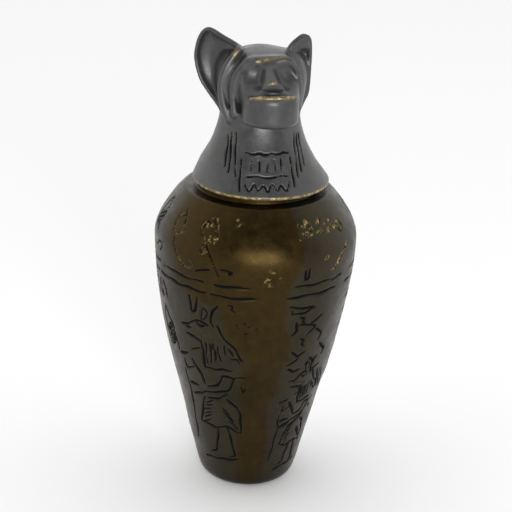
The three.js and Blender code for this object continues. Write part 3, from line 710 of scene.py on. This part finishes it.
def nose_wedge(p):
    """A wedge that widens from the brow down to a flat front. run is 0 at its tip and 1 at
    its root."""
    x, y, z = p
    slope = (NOSE_ROOT[1] - NOSE_TIP[1]) / (NOSE_ROOT[0] - NOSE_TIP[0])
    top = (z - NOSE_TIP[1] - slope * (y - NOSE_TIP[0])) / math.hypot(1, slope)
    run = (y - NOSE_TIP[0]) / (NOSE_ROOT[0] - NOSE_TIP[0])
    below = np.maximum(NOSE_TIP[1] - z, 0)
    middle = NOSE + 0.26 * below
    half = NOSE_TIP_HALF - (NOSE_TIP_HALF - NOSE_ROOT_HALF) * clamp01(run)
    half = half + 0.4 * below - 0.3 * np.minimum(top, 0)
    side = (np.abs(x - middle) - half) * 0.94
    front = NOSE_TIP[0] - y + 0.25 * (NOSE_TIP[1] - z)
    foot = (NOSE_FOOT - z) + 0.3 * (y - NOSE_TIP[0])
    wedge = carve(top, -side, 1.6)
    wedge = carve(wedge, NOSE_ROOT[1] - z, 1.2)
    wedge = carve(wedge, -front, 0.8)
    return carve(wedge, -foot, 1.2)


def head_field(p):
    x, y, z = p
    mirrored = (np.abs(x - MUZZLE), y, z)
    share = clamp01((SEAT_LEVEL + LIP_SHIFT_RISE - z) / LIP_SHIFT_RISE)
    across = np.hypot(x - share * LIP_SHIFT[0], y - share * LIP_SHIFT[1])
    wall = (across - radius_at(LID_WALL, z)) * 0.86
    neck = np.maximum(wall, z - 122)
    d = ellipsoid(p, (FACE, 1, 130.4), (5.6, 12, 8.9), 4.4)  # skull
    d = blend(d, ellipsoid(p, (FACE + 0.4, -3.6, 134), (3.6, 7, 5.2), 4.0), 2.5)  # forehead
    d = blend(d, bar(p, (0, 3.5, 130), (0, 1.5, 114), 9.4, 11), 3)  # headcloth down the nape
    d = blend(d, neck, 4)
    for side in (-1, 1):  # headcloth between the face and the ears
        d = blend(d, ellipsoid(p, (side * 9.4, -1.6, 130.2), (3.4, 5.2, 8.6)), 2.5)
    d = blend(d, bar(p, (FACE - 3.2, -8.9, 137.4), (FACE + 4.8, -8.9, 138), 1.4), 3)  # brow
    d = blend(d, ellipsoid(mirrored, (5.2, -8.6, 128.8), (3.1, 4.2, 5.2)), 2.5)  # cheeks
    d = blend(d, ellipsoid(p, (MUZZLE, -10.6, 128), (7, 7, 4.8)), 2.5)  # upper muzzle
    d = carve(d, ellipsoid(mirrored, (5.0, -12.8, 134.6), (3.2, 2.6, 3.0)), 3)  # eye sockets
    d = blend(d, nose_wedge(p), 1.6)
    d = blend(d, drum(p, (MUZZLE, -11.8), 8.1, 120.6, 129.2, 1.5), 1.2)  # blunt jaw
    d = blend(d, ridge(p, curved(LIP), 0.75), 1.0)
    for line, radius in CLOTH_FOLDS:
        d = blend(d, ridge(p, curved(line), radius), 1.2)
    for ear in EARS:
        d = blend(d, ellipsoid(p, (ear["side"] * 9.4, 2.5, 131.5), (3.6, 5, 7.6)), 3)
        d = blend(d, ear_field(p, ear), 1.6)
    return d


def lid_field(p):
    """The whole lid: head and skirt above its flat underside, the plug, and the hollow."""
    x, y, z = p
    across = np.hypot(x, y)
    outer = carve(head_field(p), z - SEAT_LEVEL, 0.5)
    plug = np.maximum(across - PLUG_RADIUS, np.maximum(SEAT_LEVEL - PLUG_DEPTH - z, z - SEAT_LEVEL - 1))
    hollow = np.maximum(across - radius_at(HOLLOW_WALL, z), z - HOLLOW_WALL[-1, 1])
    return carve(np.minimum(outer, plug), hollow, 0.4)


# ---------------------------------------------------------------- lid

LID_CELL = 0.42
LID_SPAN = (-23, -24, 94), (23, 22, 147)  # corners of the box that it is meshed in
PLANES_AT_ONCE = 12
PECTORAL_TOP = 119.0
RIM_INSIDE = 18.0  # radius beyond which the skirt's lower edge is worn bright


def meshed(field, low, high, cell):
    """Points and quads on the zero level of a field, moved onto it exactly."""
    axes = [np.arange(a, b, cell) for a, b in zip(low, high)]
    values = np.empty([len(axis) for axis in axes], np.float32)
    for i in range(0, len(axes[0]), PLANES_AT_ONCE):
        planes = slice(i, i + PLANES_AT_ONCE)
        values[planes] = field(np.meshgrid(axes[0][planes], axes[1], axes[2], indexing="ij"))
    grid = openvdb.FloatGrid(FAR_AWAY)
    grid.copyFromArray(values)
    points, quads = grid.convertToQuads(isovalue=0.0)
    points = points * cell + np.array(low)
    for _ in range(3):
        slope = gradient(field, points)
        points = points - np.clip(field(points.T), -cell, cell)[:, None] * 0.8 * slope
    return points, quads


def gradient(field, points):
    """Outward direction of a field at points, of unit length."""
    reach = 0.08
    slope = np.empty_like(points)
    for axis in range(3):
        step = np.zeros(3)
        step[axis] = reach
        slope[:, axis] = field((points + step).T) - field((points - step).T)
    return slope / np.maximum(np.linalg.norm(slope, axis=1), 1e-9)[:, None]


def pectoral():
    """Pectoral on the chest: border, bars, a rule and a zigzag fringe, with bundles of
    hair on both sides of it."""
    half = 8.2
    lines = [
        [(-half, 102.4), (-half + 0.6, 110.5)],
        [(half, 102.4), (half - 0.6, 110.5)],
        [(-half + 1.6, 112), (half - 1.6, 112)],
        [(-half + 2, 106), (half - 2, 106)],
    ]
    lines += fan([(-4.6, 107.4), (-4.4, 110.4)], [(4.6, 107.4), (4.4, 110.4)], 5)
    teeth = 5
    pitch = (2 * half - 3) / teeth
    lines.append([(-half + 1.5 + k * pitch / 2, 102.2 if k % 2 else 104.3) for k in range(2 * teeth + 1)])
    for side in (-1, 1):
        lines += fan([(side * 9.6, 105.5), (side * 9.2, 117)], [(side * 13, 107.5), (side * 12, 116)], 3)
    return [
        stroke([((x + FACE) / radius_at(LID_WALL, z), z) for x, z in line], width=0.8, depth=0.35)
        for line in lines
    ]


def near_line(points, line, radius):
    """Share of closeness to a line of points, 1 on it and 0 beyond a radius."""
    return smooth_step(1 - ridge(points.T, line, 0) / radius)


def lid_piece():
    points, quads = meshed(lid_field, *LID_SPAN, LID_CELL)
    angle = np.arctan2(points[:, 0], -points[:, 1])
    height = points[:, 2]
    normal = gradient(lid_field, points)
    outward = np.einsum("ij,ij->i", normal[:, :2], points[:, :2]) > 0
    skirt = outward & (height > SEAT_LEVEL + 0.5) & (height < PECTORAL_TOP) & (np.abs(angle) < 2)
    push = np.zeros(len(points))
    groove = np.zeros(len(points))
    brass = np.zeros(len(points))
    push[skirt], groove[skirt], brass[skirt] = engraved(angle[skirt], height[skirt], LID_WALL, pectoral())
    points = points - normal * push[:, None]

    at_rim = np.hypot(*points[:, :2].T) > RIM_INSIDE
    lip_edge = smooth_step(1 - np.abs(height - SEAT_LEVEL - 0.5) / 0.9) * at_rim
    brow = 0.85 * near_line(points, [(FACE - 3.4, -10.6, 138.2), (FACE + 5.2, -10.0, 139.8)], 1.1)
    nose = near_line(points, [(NOSE - 2.0, -18.0, 133.9), (NOSE + 1.4, -18.0, 133.9)], 0.8)
    lip = near_line(points, [(x, y - 0.5, z + 0.3) for x, y, z in curved(LIP)], 0.9)
    root = 0.6 * near_line(points, [(-7.8, -5.2, 140.2), (-9.2, -5.8, 138.4)], 1.2)
    brassy_spots = np.maximum.reduce([lip_edge, brow, nose, lip, root, brass])
    shares = {"groove": groove, "brass": brassy_spots, "polish": np.zeros(len(points))}
    return new_piece("lid_cast", points, quads.tolist(), shares)


# ---------------------------------------------------------------- materials


class Recipe:
    """Short calls for building the nodes of one material."""

    def __init__(self, name):
        self.material = bpy.data.materials.new(name)
        self.material.use_nodes = True
        self.tree = self.material.node_tree
        self.shader = self.tree.nodes["Principled BSDF"]
        self.place = self.tree.nodes.new("ShaderNodeTexCoord").outputs["Object"]

    def put(self, value, socket):
        if isinstance(value, bpy.types.NodeSocket):
            self.tree.links.new(value, socket)
        elif isinstance(value, tuple) and len(value) == 3 and socket.type == "RGBA":
            socket.default_value = (*value, 1)
        else:
            socket.default_value = value

    def share(self, name):
        node = self.tree.nodes.new("ShaderNodeAttribute")
        node.attribute_name = name
        return node.outputs["Fac"]

    def noise(self, millimetres, detail=3.0, roughness=0.55, stretch=(1, 1, 1)):
        """Noise whose features are this many millimetres across."""
        mapping = self.tree.nodes.new("ShaderNodeMapping")
        mapping.inputs["Scale"].default_value = stretch
        self.tree.links.new(self.place, mapping.inputs["Vector"])
        node = self.tree.nodes.new("ShaderNodeTexNoise")
        node.inputs["Scale"].default_value = 1000 / millimetres
        node.inputs["Detail"].default_value = detail
        node.inputs["Roughness"].default_value = roughness
        self.tree.links.new(mapping.outputs["Vector"], node.inputs["Vector"])
        return node.outputs["Fac"]

    def spread(self, value, low, high, to_low=0.0, to_high=1.0):
        node = self.tree.nodes.new("ShaderNodeMapRange")
        node.interpolation_type = "SMOOTHSTEP"
        for socket, number in zip(node.inputs[1:5], (low, high, to_low, to_high)):
            socket.default_value = number
        self.put(value, node.inputs["Value"])
        return node.outputs["Result"]

    def maths(self, operation, a, b):
        node = self.tree.nodes.new("ShaderNodeMath")
        node.operation = operation
        self.put(a, node.inputs[0])
        self.put(b, node.inputs[1])
        return node.outputs["Value"]

    def mix(self, share, a, b):
        node = self.tree.nodes.new("ShaderNodeMix")
        node.data_type = "RGBA"
        self.put(share, node.inputs["Factor"])
        self.put(a, node.inputs[6])
        self.put(b, node.inputs[7])
        return node.outputs[2]

    def bump(self, height, millimetres, below=None):
        node = self.tree.nodes.new("ShaderNodeBump")
        node.inputs["Strength"].default_value = 1
        node.inputs["Distance"].default_value = millimetres / 1000
        self.put(height, node.inputs["Height"])
        if below is not None:
            self.put(below, node.inputs["Normal"])
        return node.outputs["Normal"]


def bronze(name, panel, polished, brass_colour, roughness, metallic):
    """Patinated bronze: a panel tone and a polished tone, dark grooves, and brassy wear that on the jar's
    shoulder is partly a painted highlight.
    """
    recipe = Recipe(name)
    blotches = recipe.noise(19, 4, 0.6)
    mottle = recipe.noise(3.4, 5, 0.65)
    grain = recipe.noise(0.7, 3)
    scratches = recipe.noise(2.6, 3, 0.6, (1, 1, 2.5))

    shine = recipe.spread(recipe.maths("ADD", recipe.share("polish"), blotches), 0.7, 1.5)
    tone = recipe.mix(shine, panel, polished)
    dark = recipe.mix(0.6, tone, (0.006, 0.005, 0.003))
    warm = recipe.mix(0.5, tone, tuple(2.2 * c for c in polished))
    colour = recipe.mix(recipe.spread(blotches, 0.45, 0.75, 0, 0.6), tone, dark)
    colour = recipe.mix(recipe.spread(mottle, 0.5, 0.72, 0, 0.45), colour, warm)
    colour = recipe.mix(recipe.spread(mottle, 0.5, 0.3, 0, 0.45), colour, dark)
    speckle = recipe.noise(1.2, 4, 0.7)
    # Brass shares tint the colour and then bare the metal: worn brass, and on the jar's shoulder partly a
    # painted highlight.
    brass_tint = recipe.spread(recipe.share("brass"), 0.02, 0.6, 0, 0.35)
    colour = recipe.mix(brass_tint, colour, tuple(0.3 * c for c in brass_colour))
    brass_wear_and_highlight = recipe.spread(recipe.share("brass"), 0.2, 1.1)
    brassy_spots = recipe.maths("MULTIPLY", brass_wear_and_highlight, recipe.spread(speckle, 0.42, 0.64))
    colour = recipe.mix(brassy_spots, colour, brass_colour)
    clean = recipe.maths("SUBTRACT", 1.0, brassy_spots)
    dirt = recipe.maths("MULTIPLY", recipe.spread(recipe.share("groove"), 0.05, 0.55), clean)
    colour = recipe.mix(dirt, colour, (0.0025, 0.0025, 0.002))
    recipe.put(colour, recipe.shader.inputs["Base Color"])

    rough = recipe.spread(mottle, 0.3, 0.7, roughness - 0.06, roughness + 0.1)
    rough = recipe.maths("ADD", rough, recipe.maths("MULTIPLY", dirt, 0.3))
    recipe.put(rough, recipe.shader.inputs["Roughness"])
    bare = recipe.maths("MAXIMUM", metallic, brassy_spots)
    metal = recipe.maths("MULTIPLY", bare, recipe.spread(dirt, 0, 1, 1, 0.5))
    recipe.put(metal, recipe.shader.inputs["Metallic"])
    recipe.put(recipe.spread(dirt, 0, 1, 0.5, 0.12), recipe.shader.inputs["Specular IOR Level"])

    rugged = recipe.bump(mottle, 0.06)
    scratched = recipe.bump(scratches, 0.015, rugged)
    recipe.put(recipe.bump(grain, 0.02, scratched), recipe.shader.inputs["Normal"])
    return recipe.material


# ---------------------------------------------------------------- pieces

jar = jar_piece()
jar.data.materials.append(
    bronze("jar_patina", (0.034, 0.028, 0.016), (0.034, 0.0205, 0.004), (0.5, 0.37, 0.12), 0.36, 0.9)
)
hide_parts("jar")

lid = lid_piece()
lid.data.materials.append(
    bronze("lid_patina", (0.055, 0.055, 0.055), (0.062, 0.054, 0.042), (0.6, 0.44, 0.15), 0.36, 0.35)
)
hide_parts("lid")

# ---------------------------------------------------------------- floor, light and camera

FLOOR_HALF = 6.0

floor_mesh = bpy.data.meshes.new("floor")
corners = [(x * FLOOR_HALF, y * FLOOR_HALF, 0) for x, y in ((-1, -1), (1, -1), (1, 1), (-1, 1))]
floor_mesh.from_pydata(corners, [], [(0, 1, 2, 3)])
floor = bpy.data.objects.new("floor", floor_mesh)
bpy.context.scene.collection.objects.link(floor)
paper = bpy.data.materials.new("paper")
paper.use_nodes = True
paper.node_tree.nodes["Principled BSDF"].inputs["Base Color"].default_value = (0.92, 0.92, 0.92, 1)
paper.node_tree.nodes["Principled BSDF"].inputs["Roughness"].default_value = 0.9
floor_mesh.materials.append(paper)

world = bpy.data.worlds.new("studio")
bpy.context.scene.world = world
world.use_nodes = True

ROOM_AHEAD = (0, -0.9, 0.436)  # direction of the dimmest part of the room
ROOM_DIM = 0.25
ROOM_BRIGHT = 1.35
ROOM_EDGE = 0.25  # cosines of the angles from it where the dimming starts and is full
ROOM_CORE = 0.85


def dim_room(tree):
    """A white backdrop, but a dimmer room in front of the object for the metal to reflect."""
    background = tree.nodes["Background"]
    background.inputs["Color"].default_value = (1, 1, 1, 1)
    place = tree.nodes.new("ShaderNodeTexCoord").outputs["Generated"]
    ahead = tree.nodes.new("ShaderNodeVectorMath")
    ahead.operation = "DOT_PRODUCT"
    tree.links.new(place, ahead.inputs[0])
    ahead.inputs[1].default_value = ROOM_AHEAD
    shade = tree.nodes.new("ShaderNodeMapRange")
    shade.interpolation_type = "SMOOTHSTEP"
    for socket, number in zip(shade.inputs[1:5], (ROOM_EDGE, ROOM_CORE, ROOM_BRIGHT, ROOM_DIM)):
        socket.default_value = number
    tree.links.new(ahead.outputs["Value"], shade.inputs["Value"])
    ray = tree.nodes.new("ShaderNodeLightPath").outputs["Is Camera Ray"]
    seen = tree.nodes.new("ShaderNodeMix")
    tree.links.new(ray, seen.inputs["Factor"])
    tree.links.new(shade.outputs["Result"], seen.inputs[2])
    seen.inputs[3].default_value = 1.0
    tree.links.new(seen.outputs[0], background.inputs["Strength"])


dim_room(world.node_tree)

TARGET = Vector((0, 0, 75 * METRES))


def towards(azimuth, elevation):
    """Unit direction from the object: azimuth 0 is the front, positive towards +X."""
    a, e = math.radians(azimuth), math.radians(elevation)
    return Vector((math.sin(a) * math.cos(e), -math.cos(a) * math.cos(e), math.sin(e)))


def facing(direction):
    """Turns a light or camera to look back along a direction."""
    return direction.to_track_quat("Z", "Y").to_matrix().to_4x4()


def soft_light(name, azimuth, elevation, distance, width, height, watts):
    data = bpy.data.lights.new(name, "AREA")
    data.shape = "RECTANGLE"
    data.size = width
    data.size_y = height
    data.energy = watts
    light = bpy.data.objects.new(name, data)
    direction = towards(azimuth, elevation)
    light.matrix_world = Matrix.Translation(TARGET + direction * distance) @ facing(direction)
    bpy.context.scene.collection.objects.link(light)


soft_light("window", 3, 12, 1.2, 0.7, 0.22, 9)

CAMERA_AZIMUTH = -8
CAMERA_ELEVATION = 22.5
CAMERA_DISTANCE = 0.37
CAMERA_ROLL = 2.322

lens = bpy.data.cameras.new("camera")
lens.lens = 83.71
lens.shift_x = 0.00294
lens.shift_y = -0.00433
lens.clip_start = 0.01
camera = bpy.data.objects.new("camera", lens)
direction = towards(CAMERA_AZIMUTH, CAMERA_ELEVATION)
roll = Matrix.Rotation(math.radians(CAMERA_ROLL), 4, "Z")
camera.matrix_world = Matrix.Translation(TARGET + direction * CAMERA_DISTANCE) @ facing(direction) @ roll
bpy.context.scene.collection.objects.link(camera)
bpy.context.scene.camera = camera
bpy.context.scene.view_settings.view_transform = "Standard"
